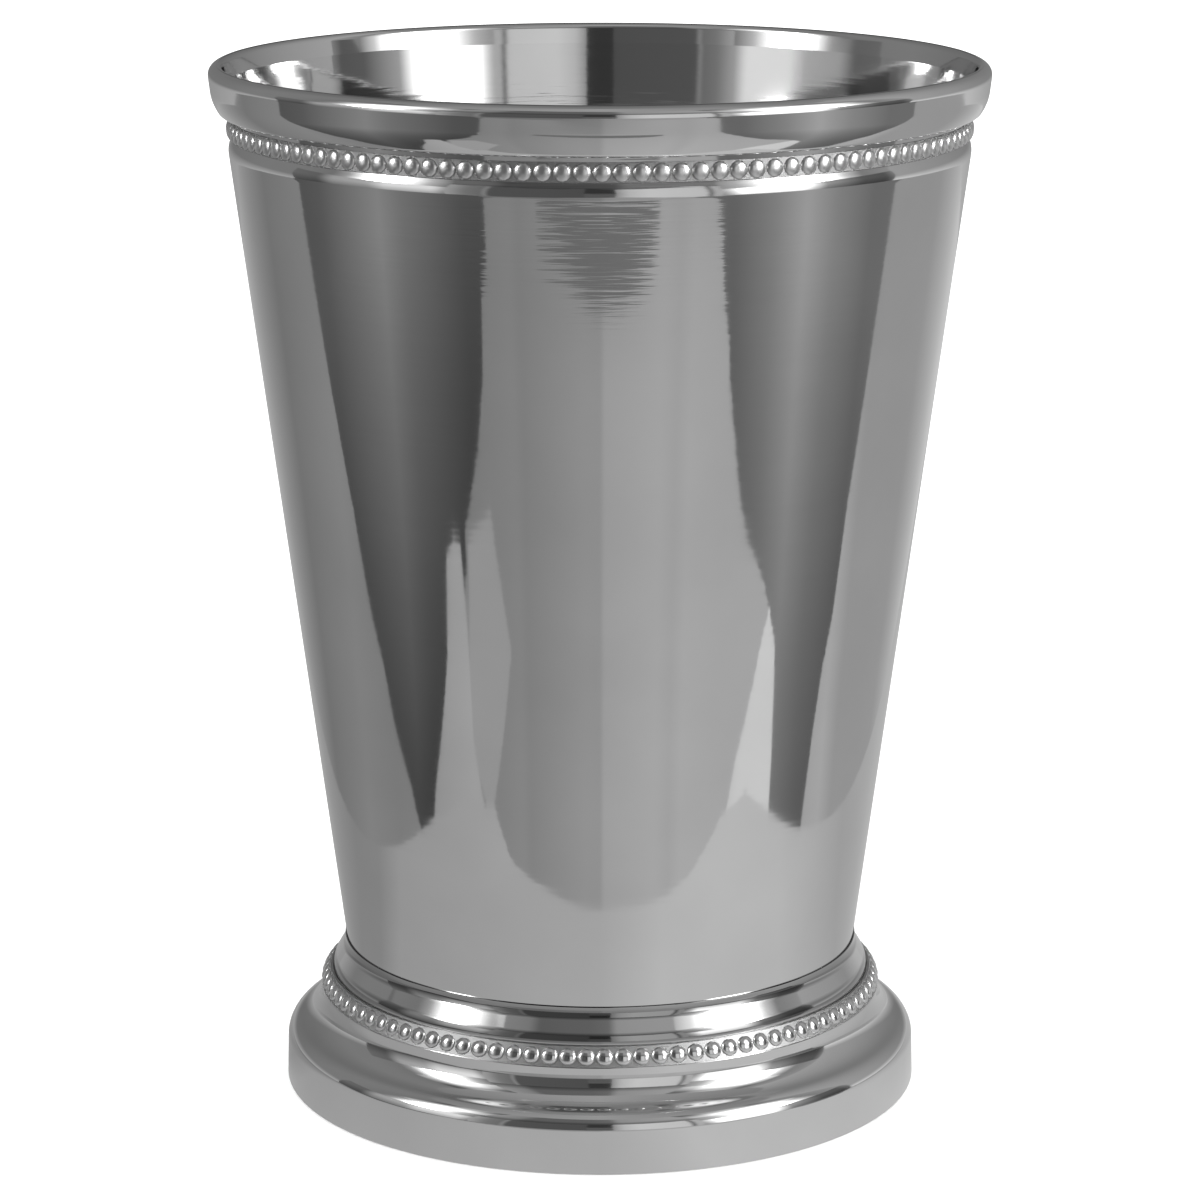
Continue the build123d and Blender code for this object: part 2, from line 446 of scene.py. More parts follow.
def outline(corners, closed):
    """Points along an outline: arcs at its fillets, and sides divided with a ring near each end."""
    count = len(corners)
    spots = [Vector(corner[:2]) for corner in corners]
    runs = []
    for i, corner in enumerate(corners):
        if corner[2] > 0:
            runs.append(fillet(spots[i - 1], spots[i], spots[(i + 1) % count], corner[2]))
        else:
            runs.append([spots[i]])
    if closed:
        runs.append([runs[0][0]])
    points = list(runs[0])
    spacing = sizes("body").ring_spacing
    for run in runs[1:]:
        start, end = points[-1], run[0]
        way = end - start
        if way.length > SHORT_SIDE:
            near = SUPPORT / way.length
            parts = max(1, math.ceil(way.length * (1 - 2 * near) / spacing))
            for part in range(parts + 1):
                points.append(start + way * (near + (1 - 2 * near) * part / parts))
        points.extend(run)
    return points


# Geometry Nodes: a lathe, and a ring of beaded wire

def new_tree(name, inputs, result):
    """A geometry tree with named inputs: the tree, what adds nodes to it, and its input sockets."""
    tree = bpy.data.node_groups.new(name, "GeometryNodeTree")
    for label, kind in inputs:
        tree.interface.new_socket(label, in_out="INPUT", socket_type="NodeSocket" + kind)
    tree.interface.new_socket(result, in_out="OUTPUT", socket_type="NodeSocketGeometry")
    add = partial(add_node, tree)
    return tree, add, add("NodeGroupInput").outputs


def smoothed(add, mesh):
    """Smooth faces, with crisp lines left at sharp edges."""
    bend = add("GeometryNodeInputMeshEdgeAngle").outputs["Unsigned Angle"]
    blunt = add("FunctionNodeCompare", {"A": bend, "B": SHARP}, operation="LESS_THAN")
    faces = add("GeometryNodeSetShadeSmooth", {"Geometry": mesh, "Shade Smooth": True}, domain="FACE")
    return add("GeometryNodeSetShadeSmooth", {"Geometry": faces, "Shade Smooth": blunt}, domain="EDGE")


def dressed(add, mesh, given):
    """The finished geometry, in its metal."""
    whole = add("GeometryNodeRealizeInstances", {"Geometry": mesh})
    return add("GeometryNodeSetMaterial", {"Geometry": whole, "Material": given["Metal"]})


def lathe_tree():
    """Turns an outline round the Z axis, and lets the wall stray a little as spinning does."""
    tree, add, given = new_tree("Turned piece", (
        ("Outline", "Geometry"), ("Segments", "Int"), ("Waver", "Float"), ("Waver length", "Float"),
        ("Metal", "Material")), "Piece")
    rows = add("GeometryNodeAttributeDomainSize", {"Geometry": given["Outline"]}, component="MESH")
    columns = add("FunctionNodeIntegerMath", {0: given["Segments"], 1: 1}, operation="ADD")
    grid = add("GeometryNodeMeshGrid", {
        "Vertices X": rows.outputs["Point Count"], "Vertices Y": columns})
    index = add("GeometryNodeInputIndex")
    row = add("FunctionNodeIntegerMath", {0: index, 1: columns}, operation="DIVIDE_FLOOR")
    column = add("FunctionNodeIntegerMath", {0: index, 1: columns}, operation="MODULO")
    position = add("GeometryNodeInputPosition")
    spot = add("GeometryNodeSampleIndex", {
        "Geometry": given["Outline"], "Value": position, "Index": row},
        data_type="FLOAT_VECTOR", domain="POINT")
    level = add("ShaderNodeSeparateXYZ", {0: spot}).outputs
    share = calc(add, "DIVIDE", column, given["Segments"])
    angle = calc(add, "MULTIPLY", share, math.tau)
    turn = [calc(add, name, angle) for name in ("COSINE", "SINE")]
    across = [calc(add, "MULTIPLY", level["X"], part) for part in turn]
    true_place = add("ShaderNodeCombineXYZ", {"X": across[0], "Y": across[1], "Z": level["Z"]})
    per_length = calc(add, "DIVIDE", 1.0, given["Waver length"])
    noise = add("ShaderNodeTexNoise", {
        "Vector": true_place, "Scale": per_length, "Detail": 1.0}, noise_dimensions="3D")
    stray = calc(add, "SUBTRACT", noise, NOISE_MIDDLE)
    clear = calc(add, "DIVIDE", level["X"], given["Waver length"], use_clamp=True)
    scaled = calc(add, "MULTIPLY", stray, given["Waver"])
    radial = calc(add, "MULTIPLY", scaled, clear)
    outwards = add("ShaderNodeCombineXYZ", {"X": turn[0], "Y": turn[1]})
    offset = add("ShaderNodeVectorMath", {0: outwards, "Scale": radial}, operation="SCALE")
    placed = add("GeometryNodeSetPosition", {"Geometry": grid, "Position": true_place, "Offset": offset})
    closed = add("GeometryNodeMergeByDistance", {"Geometry": placed, "Distance": JOIN})
    add("NodeGroupOutput", {"Piece": dressed(add, smoothed(add, closed), given)})
    return tree


def beading_tree(lathe):
    """A turned strip with a ring of domes; each point keeps how deep it lies in the hollows."""
    tree, add, given = new_tree("Beaded wire", (
        ("Strip outline", "Geometry"), ("Segments", "Int"), ("Beads", "Int"), ("Bead sides", "Int"),
        ("Bead rows", "Int"), ("Bead radius", "Float"), ("Relief", "Float"), ("Ring radius", "Float"),
        ("Level", "Float"), ("Slope", "Float"), ("Turn", "Float"), ("Dulled", "Float"),
        ("Sunken", "Float"), ("Metal", "Material")), "Beading")
    strip = add("GeometryNodeGroup", {
        "Outline": given["Strip outline"], "Segments": given["Segments"], "Waver length": 1.0},
        node_tree=lathe)
    drum = add("GeometryNodeMeshCylinder", {
        "Vertices": given["Bead sides"], "Side Segments": given["Bead rows"], "Radius": 1.0,
        "Depth": DRUM_DEPTH}, fill_type="NGON")
    position = add("GeometryNodeInputPosition")
    place = add("ShaderNodeSeparateXYZ", {0: position}).outputs
    rise = calc(add, "ADD", place["Z"], DRUM_DEPTH / 2)
    latitude = calc(add, "MULTIPLY_ADD", rise, TIP_LATITUDE - ROOT_LATITUDE, ROOT_LATITUDE)
    girth = calc(add, "COSINE", latitude)
    height = calc(add, "SINE", latitude)
    across = [calc(add, "MULTIPLY", place[axis], girth) for axis in "XY"]
    dome = add("ShaderNodeCombineXYZ", {"X": across[0], "Y": across[1], "Z": height})
    reach = add("ShaderNodeCombineXYZ", {
        "X": given["Bead radius"], "Y": given["Bead radius"], "Z": given["Relief"]})
    sized = add("ShaderNodeVectorMath", {0: dome, 1: reach}, operation="MULTIPLY")
    # Deep points are rougher, and the deepest also take painted shade in the metal
    below_tip = calc(add, "SUBTRACT", DRUM_DEPTH, rise)
    depth = calc(add, "MAXIMUM", below_tip, given["Dulled"])
    marked = add("GeometryNodeStoreNamedAttribute", {
        "Geometry": drum, "Name": "hollow", "Value": depth},
        data_type="FLOAT", domain="POINT")
    bead = add("GeometryNodeSetPosition", {"Geometry": marked, "Position": sized})
    ring = add("GeometryNodeMeshCircle", {"Vertices": given["Beads"], "Radius": given["Ring radius"]},
               fill_type="NONE")
    turn = add("ShaderNodeCombineXYZ", {"Z": given["Turn"]})
    lift = add("ShaderNodeCombineXYZ", {"Z": given["Level"]})
    seat = add("GeometryNodeTransform", {"Geometry": ring, "Translation": lift, "Rotation": turn})
    flat = add("ShaderNodeVectorMath", {0: position, 1: FLATTEN}, operation="MULTIPLY")
    level_out = add("ShaderNodeVectorMath", {0: flat}, operation="NORMALIZE")
    upwards = add("ShaderNodeCombineXYZ", {"Z": given["Slope"]})
    outwards = add("ShaderNodeVectorMath", {0: level_out, 1: upwards}, operation="ADD")
    facing = add("FunctionNodeAlignRotationToVector", {"Vector": outwards}, axis="Z")
    row = add("GeometryNodeInstanceOnPoints", {"Points": seat, "Instance": bead, "Rotation": facing})
    beads = add("GeometryNodeRealizeInstances", {"Geometry": row})
    # The strip counts as lying deepest, so it takes the most painted shade
    backing = add("GeometryNodeStoreNamedAttribute", {
        "Geometry": strip, "Name": "hollow", "Value": given["Sunken"]},
        data_type="FLOAT", domain="POINT")
    both = add("GeometryNodeJoinGeometry", {0: smoothed(add, beads)})
    feed(both, {0: backing})
    add("NodeGroupOutput", {"Beading": dressed(add, both, given)})
    return tree


def named_tree(name):
    """One of the geometry trees, made on first use."""
    if name in bpy.data.node_groups:
        return bpy.data.node_groups[name]
    return lathe_tree() if name == "Turned piece" else beading_tree(named_tree("Turned piece"))


def linked(name, data):
    """A new object in the scene."""
    thing = bpy.data.objects.new(name, data)
    bpy.context.scene.collection.objects.link(thing)
    return thing


def made_piece(name, slot, points, tree, values):
    """A plain closed mesh from an outline and a geometry tree, riding on the cup."""
    sketch = bpy.data.meshes.new(name + "_outline")
    sketch.from_pydata([(p.x, 0, p.y) for p in points], [(i, i + 1) for i in range(len(points) - 1)], [])
    piece = linked("shown_" + name, sketch)
    modifier = piece.modifiers.new(tree.name, "NODES")
    modifier.node_group = tree
    values = {**values, "Metal": metal(slot)}
    for item in tree.interface.items_tree:
        if item.item_type == "SOCKET" and item.in_out == "INPUT" and item.name in values:
            modifier[item.identifier] = values[item.name]
    bpy.context.view_layer.update()
    evaluated = piece.evaluated_get(bpy.context.evaluated_depsgraph_get())
    mesh = bpy.data.meshes.new_from_object(evaluated)
    piece.modifiers.remove(modifier)
    shape = bmesh.new()
    shape.from_mesh(mesh)
    bmesh.ops.recalc_face_normals(shape, faces=shape.faces)
    shape.to_mesh(mesh)
    shape.free()
    if not mesh.polygons:
        raise RuntimeError(f"{name} came out empty")
    piece.data = mesh
    mesh.name = "shown_" + name
    bpy.data.meshes.remove(sketch)
    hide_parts(name)
    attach(piece, "root")


def turned_piece(name, slot, corners, closed, waver=0.0):
    """A piece from the lathe tree."""
    body = sizes("body")
    made_piece(name, slot, outline(corners, closed), named_tree("Turned piece"), {
        "Segments": body.segments, "Waver": waver, "Waver length": body.waver_length})


# Materials

# Marks on a surface: how far each reaches round the piece, its spacing up the side, and octaves of noise
MARKS = {
    "ripple": (45 * MM, 2.2 * MM, 2.0),     # rings that the spinning tool leaves
    "chatter": (10 * MM, 0.45 * MM, 2.0),   # finer marks where the neck was pressed in
    "hairline": (30 * MM, 0.5 * MM, 2.0),   # polishing lines; real ones, about 0.05 mm, would not show
    "smudge": (16 * MM, 16 * MM, 4.0),      # cloth marks from polishing
    "turning": (0.6 * MM, 0.6 * MM, 3.0),   # rings from turning the base plate
    "fibre": (2 * MM, 2 * MM, 3.0),         # fibre of the floor's paper
}
RIPPLE_HEIGHT = 0.006 * MM
CHATTER_HEIGHT = 0.014 * MM
TURNING_HEIGHT = 0.01 * MM
CHATTER_LEVELS = (86 * MM, 98 * MM)             # heights between which the chatter sets in
CHATTER_SIDES = (9 * MM, 14 * MM)               # distances to the sides between which it fades
CHATTER_LEFT = 0.2                              # share of it that is left beyond them
BODY_CLOUD, TRIM_CLOUD, BASE_CLOUD = 0.93, 0.92, 0.82   # how bright the plate stays under cloth marks
BUFFED_ROUGHNESS = (0.02, 0.06)                 # from clean plate to cloth marks
HAIRLINE_ROUGHNESS = 0.04
SATIN_ROUGHNESS = (0.22, 0.4)
PAPER_ROUGHNESS = (0.85, 0.95)
HOLLOW_SHADE_DEPTHS = (0.85, 1.0)                    # depths in a hollow from where painted shade begins to its most
HOLLOW_SHADE_MOST = 0.55
HOLLOW_ROUGHNESS = 0.42                         # added at the bottom of a hollow
HOLLOW_POWER = 2.0                              # how soon that fades towards the tips of the beads
# Heights in millimetres on the foot's collar, and how much painted shade darkens its two joints
COLLAR_JOINT_SHADE = ((12.3, 0.0), (12.6, 0.6), (13.3, 0.6), (13.6, 0.0), (14.7, 0.0), (15.0, 0.6), (15.8, 0.6),
               (16.0, 0.5), (16.1, 0.0))


def empty_material(name):
    """A material with no nodes but its Object coordinates, and what adds nodes to it."""
    material = bpy.data.materials.new(name)
    material.use_nodes = True
    material.node_tree.nodes.clear()
    add = partial(add_node, material.node_tree)
    return material, add, add("ShaderNodeTexCoord").outputs["Object"]


def new_material(name, tone, metallic=1.0):
    """A material with one Principled shader."""
    material, add, place = empty_material(name)
    shader = add("ShaderNodeBsdfPrincipled", {"Metallic": metallic, "Base Color": (*tone, 1)})
    add("ShaderNodeOutputMaterial", {"Surface": shader})
    return material, add, shader, place


def surface_marks(add, place, *names):
    """The named marks, each as noise with the grain that MARKS gives it."""
    found = []
    for name in names:
        reach, spacing, detail = MARKS[name]
        grain = add("ShaderNodeMapping", {"Vector": place, "Scale": (1 / reach, 1 / reach, 1 / spacing)})
        noise = add("ShaderNodeTexNoise", {"Vector": grain, "Scale": 1.0, "Detail": detail})
        found.append(noise)
    return found


def off_axis(add, place):
    """Distance of a place from the cup's axis."""
    flat = add("ShaderNodeVectorMath", {0: place, 1: FLATTEN}, operation="MULTIPLY")
    return add("ShaderNodeVectorMath", {0: flat}, operation="LENGTH").outputs["Value"]


def fill_ramp(ramp, stops, low, high):
    """Fill a colour ramp that runs from low to high with stops of (place, grey)."""
    while len(ramp.elements) < len(stops):
        ramp.elements.new(1.0)
    for mark, (spot, grey) in zip(ramp.elements, [*stops, stops[-1]]):
        mark.position = (spot - low) / (high - low)
        mark.color = (grey, grey, grey, 1)


def clouded(add, smudge, tone, share):
    """Colour of plate, which keeps a share of its brightness under cloth marks."""
    cloud = mapped(add, smudge, NOISE_SPAN)
    darker = [share * part for part in tone]
    shade = add("ShaderNodeMix", {0: cloud, MIX_A: (*tone, 1), MIX_B: (*darker, 1)}, data_type="RGBA")
    return shade.outputs[MIX_RESULT]


def buffed(add, place, tone, share):
    """Colour and roughness of buffed plate, with its cloth marks and polishing lines."""
    hairline, smudge = surface_marks(add, place, "hairline", "smudge")
    haze = mapped(add, smudge, NOISE_SPAN, BUFFED_ROUGHNESS)
    rough = calc(add, "MULTIPLY_ADD", hairline, HAIRLINE_ROUGHNESS, haze)
    return clouded(add, smudge, tone, share), rough


def spun_nickel(name):
    """Nickel plate over a sheet spun on a lathe and buffed: a mirror with soft rings round the cup
    that bend what it reflects, and faint clouds from the polishing cloth."""
    tone = list(sizes("finish").body_nickel)
    material, add, shader, place = new_material(name, tone)
    shade, rough = buffed(add, place, tone, BODY_CLOUD)
    ripple, chatter = surface_marks(add, place, "ripple", "chatter")
    spot = add("ShaderNodeSeparateXYZ", {0: place}).outputs
    near_neck = mapped(add, spot["Z"], CHATTER_LEVELS)
    sideways = calc(add, "ABSOLUTE", spot["X"])
    in_front = mapped(add, sideways, CHATTER_SIDES, (1.0, CHATTER_LEFT))
    pressed = calc(add, "MULTIPLY", near_neck, in_front)
    rings = add("ShaderNodeBump", {"Height": ripple, "Strength": 1.0, "Distance": RIPPLE_HEIGHT})
    bumps = add("ShaderNodeBump", {
        "Height": chatter, "Strength": pressed, "Distance": CHATTER_HEIGHT, "Normal": rings})
    feed(shader, {"Base Color": shade, "Roughness": rough, "Normal": bumps})
    return material


def turned_nickel(name):
    """Nickel plate over turned and rolled brass: a bright mirror, rougher in the hollows between the beads,
    where the cloth doesn't reach, and darkened there and in the collar's joints with painted shade."""
    finish = sizes("finish")
    tone = list(finish.trim_nickel)
    material, add, shader, place = new_material(name, tone)
    clean, gloss = buffed(add, place, tone, TRIM_CLOUD)
    hollow = add("ShaderNodeAttribute", attribute_name="hollow").outputs["Fac"]
    # Painted shade: the deepest points between the beads, and the strip behind them, take the darker colour
    deep = mapped(add, hollow, HOLLOW_SHADE_DEPTHS, (0.0, HOLLOW_SHADE_MOST))
    level = add("ShaderNodeSeparateXYZ", {0: place}).outputs["Z"]
    # Painted shade in the collar's two joints, set by height
    low, high = COLLAR_JOINT_SHADE[0][0], COLLAR_JOINT_SHADE[-1][0]
    joint_shade = add("ShaderNodeValToRGB", {0: mapped(add, level, (low * MM, high * MM))})
    fill_ramp(joint_shade.color_ramp, COLLAR_JOINT_SHADE, low, high)
    painted_shade = calc(add, "MAXIMUM", deep, joint_shade.outputs["Color"])
    shade = add("ShaderNodeMix", {0: painted_shade, MIX_A: clean, MIX_B: (*finish.hollow_shade, 1)}, data_type="RGBA")
    unpolished = calc(add, "POWER", hollow, HOLLOW_POWER)
    rough = calc(add, "MULTIPLY_ADD", unpolished, HOLLOW_ROUGHNESS, gloss)
    feed(shader, {"Base Color": shade.outputs[MIX_RESULT], "Roughness": rough})
    return material


def satin_nickel(name):
    """Nickel plate over a turned disc, left unbuffed: a satin face with fine rings round its middle."""
    tone = list(sizes("finish").base_nickel)
    material, add, shader, place = new_material(name, tone)
    across = add("ShaderNodeCombineXYZ", {"X": off_axis(add, place)})
    rings, = surface_marks(add, across, "turning")
    smudge, = surface_marks(add, place, "smudge")
    satin = mapped(add, rings, NOISE_SPAN, SATIN_ROUGHNESS)
    bump = add("ShaderNodeBump", {"Height": rings, "Strength": 1.0, "Distance": TURNING_HEIGHT})
    feed(shader, {"Base Color": clouded(add, smudge, tone, BASE_CLOUD), "Roughness": satin,
                  "Normal": bump})
    return material


METALS = {
    "body_metal": ("spun nickel plate", spun_nickel),
    "trim_metal": ("turned nickel plate", turned_nickel),
    "base_metal": ("satin nickel plate", satin_nickel),
}


def metal(slot):
    """The material for one of the record's metal slots, made on first use."""
    name, make = METALS[slot]
    return bpy.data.materials.get(name) or make(name)


# Operators for the pieces

class JULEP_OT_body(Operator):
    """Turn the spun body on the lathe tree"""
    bl_idname = "julep.body"
    bl_label = "Spin the body"

    def execute(self, context):
        turned_piece("cup_body", "body_metal", body_corners(), False, sizes("body").waver)
        return {"FINISHED"}


class JULEP_OT_lip(Operator):
    """Turn the lip band that caps the neck"""
    bl_idname = "julep.lip"
    bl_label = "Turn the lip"

    def execute(self, context):
        turned_piece("lip_band", "trim_metal", lip_corners(), True)
        return {"FINISHED"}


class JULEP_OT_foot(Operator):
    """Turn the foot with its collar, ledge, ogee step and standing rim"""
    bl_idname = "julep.foot"
    bl_label = "Turn the foot"

    def execute(self, context):
        turned_piece("foot", "trim_metal", foot_corners(), True)
        return {"FINISHED"}


class JULEP_OT_plate(Operator):
    """Turn the dished plate that closes the foot"""
    bl_idname = "julep.plate"
    bl_label = "Turn the base plate"

    def execute(self, context):
        turned_piece("base_plate", "base_metal", plate_corners(), False)
        return {"FINISHED"}


class JULEP_OT_beading(Operator):
    """Lay the two rings of beaded wire, under the lip and on the foot's ledge"""
    bl_idname = "julep.beading"
    bl_label = "Lay the beading"

    def execute(self, context):
        foot, gap = sizes("foot"), sizes("lip").gap
        shoulder, ledge = shoulder_level(), foot.height - foot.collar_rise
        self.lay("lip_beading", shoulder, neck(shoulder) + gap, cone_lean(), sizes("lip_row"))
        self.lay("foot_beading", ledge, collar_radius() + gap, 0.0, sizes("foot_row"))
        return {"FINISHED"}

    def lay(self, name, bottom, bore, bore_lean, row):
        """One ring: the strip and its beads."""
        beads, middle = sizes("beads"), strip_height() / 2
        face = bore + bore_lean * middle + row.strip
        tips = math.tau * (face + beads.relief / math.hypot(1, row.slope))
        points = outline(strip_corners(bottom, bore, bore_lean, row.strip, row.slope), True)
        made_piece(name, "trim_metal", points, named_tree("Beaded wire"), {
            "Segments": sizes("body").segments, "Beads": round(tips / (beads.diameter + beads.spacing)),
            "Bead sides": beads.sides, "Bead rows": beads.rows, "Bead radius": beads.diameter / 2,
            "Relief": beads.relief, "Ring radius": face, "Level": bottom + middle, "Slope": row.slope,
            "Turn": row.turn, "Dulled": row.dulled, "Sunken": beads.sunken})


# The studio: what stands round the cup only shows in its reflections.
# Light is given as stops of (bearing, glow): degrees round from the camera, positive to the right.
# The share is how much of that light a cloth has next to the cup, or a panel at its foot.

HALF_TURN = 180
# Floor cloths lie one over the other: share, stops, and corners as millimetres to the right and to the back
FLOOR_CLOTHS = (
    ("ground", 1.0, (
        (-180, 0.55), (-150, 0.42), (-125, 0.25), (-98, 0.34), (-80, 0.31), (80, 0.55), (90, 0.58),
        (98, 0.45), (128, 0.43), (155, 0.65), (180, 0.6)), (
        (-900, 900), (-900, -900), (900, -900), (900, 900))),
    ("front_dark", 1.0, ((-60, 0.12), (-25, 0.15), (-8, 0.20), (8, 0.24), (25, 0.3)), (
        (-260, -250), (-400, -900), (400, -900), (260, -250))),
    ("left_dark", 0.2, (
        (-108, 0.11), (-93, 0.15), (-69, 0.34), (-61, 0.25), (-41, 0.125), (-30, 0.11)), (
        (-85, -33), (-100, -30), (-120, -22), (-140, -17), (-160, -7), (-200, 7), (-270, 40), (-363, 80),
        (-900, 290), (-900, -420), (-200, -420), (-150, -240), (-110, -100), (-75, -50))),
    ("right_dark", 0.45, (
        (30, 0.2), (40, 0.2), (53, 0.34), (64, 0.52), (75, 0.35), (90, 0.22), (98, 0.22)), (
        (87, -16), (100, -15), (120, -13), (140, -9), (160, -1), (200, 7), (360, 60), (900, 235),
        (900, -420), (200, -420), (165, -230), (125, -100), (75, -45))),
    ("far_cloth", 1.0, (
        (-40, 0.22), (-12, 0.25), (-5, 0.28), (0.2, 0.30), (0.8, 0.36), (8, 0.44), (30, 0.48)), (
        (-200, -300), (-430, -560), (280, -560), (175, -300))),
    ("front_cloth", 1.12, (
        (-40, 0.29), (-27, 0.33), (-24, 0.31), (-5, 0.40), (0.2, 0.40), (0.8, 0.475), (19, 0.54),
        (24, 0.51), (28, 0.55), (40, 0.53)), (
        (-60, -70), (-100, -100), (-122, -122), (-124, -140), (-126, -168), (-138, -188), (-148, -205),
        (-150, -225), (-163, -240), (-185, -275), (-200, -330), (200, -330), (185, -275), (167, -240),
        (164, -222), (156, -204), (152, -180), (141, -166), (140, -156), (134, -136), (131, -116),
        (134, -88), (131, -77), (60, -60))),
    ("front_gap", 1.0, ((-20, 0.20), (20, 0.24)), (
        (-94, -288), (-92, -270), (-75, -261), (-53, -254), (-32, -247), (-8, -242), (7, -241), (30, -241),
        (50, -244), (66, -251), (76, -261), (85, -271), (89, -288))),
    ("front_fold", 1.0, ((-40, 0.46),), (
        (-84, -80), (-58, -72), (-68, -118), (-104, -144), (-118, -122))),
    ("left_fold", 1.0, ((-60, 0.46), (-45, 0.54)), (
        (-80, -40), (-90, -50), (-110, -80), (-132, -102), (-130, -112), (-124, -116), (-102, -100),
        (-80, -80), (-55, -68))),
    ("right_fold", 1.0, ((40, 0.74), (50, 0.9), (60, 0.9)), (
        (80, -40), (98, -48), (116, -58), (126, -65), (131, -77), (120, -77), (80, -71), (55, -62))),
    ("plinth", 1.0, (
        (-180, 0.5), (-112, 0.33), (-94, 0.35), (-81, 0.47), (-20, 0.56), (0, 0.60), (21, 0.74), (70, 0.72),
        (108, 0.52), (140, 0.55), (180, 0.5)), (
        (-92, 600), (-88, 40), (-86, -5), (-83, -44), (-72, -66), (-58, -76), (-44, -71), (-20, -73),
        (10, -72.5), (40, -68), (64, -68), (80, -60), (86, -40), (89.6, -16), (93, 4), (95, 20), (98, 60),
        (110, 600))),
)
CLOTH_STEP = 0.1              # each cloth lies this far above the last, all just under the floor
CLOTH_SPAN = (80, 300)        # where a cloth's light goes from its share to all of it

# Upright panels on a circle round the cup: bottom, top, share of light at the bottom, height over which
# that goes to all of it, and stops
PANELS = (
    ("stand", 0, 150, 1.0, 150, ((-4.5, 0.14), (4.5, 0.14))),
    ("camera", 150, 330, 1.0, 150, ((-4.5, 0.05), (4.5, 0.05))),
    ("front_left_drape", 0, 330, 1.0, 150, (
        (-46, 0.5), (-40, 0.26), (-34.2, 0.2), (-34, 0.32), (-32.8, 0.32), (-32.6, 0.12), (-4.5, 0.11))),
    ("front_right_drape", 0, 330, 1.0, 150, (
        (4.5, 0.4), (8, 0.7), (14, 0.85), (31, 0.8), (31.3, 0.12), (32.5, 0.12), (32.8, 0.65), (36, 0.6))),
    ("front_high", 330, 900, 0.4, 200, (
        (-46, 0.4), (-34, 0.3), (-29, 0.16), (-4.5, 0.17), (4.5, 0.2), (8, 0.4), (36, 0.5))),
    ("left_low", 0, 230, 0.5, 150, (
        (-104, 0.2), (-92, 0.17), (-86, 0.5), (-72, 0.6), (-66, 1.1), (-50, 1.1), (-46, 0.5))),
    ("right_low", 0, 230, 0.5, 150, (
        (36, 0.6), (39, 1.3), (42, 3.0), (62, 3.0), (66, 1.5), (70, 0.5), (78, 0.3), (84, 0.15),
        (94, 0.13), (98, 0.3))),
    ("left_light", 230, 450, 1.0, 150, (
        (-88, 0.25), (-82, 0.5), (-76, 1.8), (-71, 14.0), (-64, 14.0), (-59, 1.8), (-53, 0.7),
        (-46, 0.25))),
    ("right_light", 230, 450, 1.0, 150, (
        (36, 0.4), (43, 0.7), (50, 1.8), (56, 18.0), (69, 18.0), (74, 2.5), (80, 0.9), (86, 0.3))),
    ("left_high", 450, 900, 5.0, 300, (
        (-88, 0.1), (-80, 0.2), (-74, 0.48), (-66, 0.64), (-58, 0.48), (-52, 0.25), (-46, 0.15))),
    ("right_high", 450, 900, 5.0, 300, (
        (36, 0.15), (44, 0.25), (50, 0.52), (63, 0.76), (74, 0.6), (80, 0.3), (86, 0.15))),
    ("left_side", 230, 900, 1.0, 150, ((-104, 0.28), (-88, 0.25))),
    ("right_side", 230, 900, 1.0, 150, ((86, 0.3), (98, 0.4))),
    ("left_back", 0, 900, 2.0, 90, ((-180, 0.18), (-150, 0.22), (-120, 0.28), (-104, 0.28))),
    ("right_back", 0, 900, 2.0, 90, ((98, 0.5), (120, 0.42), (150, 0.28), (180, 0.18))),
)
PANEL_STEP = 4                # degrees for each flat strip of a panel
CEILING = ((-180, 0.24), (-110, 0.32), (0, 0.45), (110, 0.32), (180, 0.24))
CEILING_REACH, CEILING_HEIGHT = 700, 900
FLOOR_REACH = 5000
FLOOR_LIGHT = 1.6             # strength of the white light on the floor
ROOM_LIGHT = 0.3              # and of the dim room that the metal sees between the panels
SENSOR_WIDTH = 36             # of the camera, in millimetres
NEAREST = 10 * MM             # what the camera can see starts this near to it


def lit_cloth(name, stops, share, span, upright):
    """A glowing card, painted light that stands for cloth lit by the room: its light goes by stops round
    the cup, and fades to a share of that at the near or low end of a span."""
    material, add, place = empty_material("lit cloth " + name)
    part = add("ShaderNodeSeparateXYZ", {0: place}).outputs
    ahead = calc(add, "MULTIPLY", part["Y"], -1.0)
    bearing = calc(add, "ARCTAN2", part["X"], ahead)
    glow = add("ShaderNodeValToRGB", {0: mapped(add, bearing, (-math.pi, math.pi))})
    fill_ramp(glow.color_ramp, stops, -HALF_TURN, HALF_TURN)
    way = part["Z"] if upright else off_axis(add, place)
    fade = mapped(add, way, [end * MM for end in span], (share, 1.0))
    strength = calc(add, "MULTIPLY", glow.outputs["Color"], fade)
    light = add("ShaderNodeEmission", {"Strength": strength})
    add("ShaderNodeOutputMaterial", {"Surface": light})
    return material


def floor_paper():
    """Matte white background paper: no shine, and a faint fibre."""
    material, add, shader, place = new_material(
        "matte background paper", list(sizes("finish").paper), metallic=0.0)
    fibre, = surface_marks(add, place, "fibre")
    matte = mapped(add, fibre, NOISE_SPAN, PAPER_ROUGHNESS)
    feed(shader, {"Roughness": matte, "Specular IOR Level": 0.0})
    return material


def square(reach, height):
    """Corners of a level square that reaches this far each way from the cup's axis."""
    corners = (-reach, -reach), (reach, -reach), (reach, reach), (-reach, reach)
    return [(x, y, height) for x, y in corners]


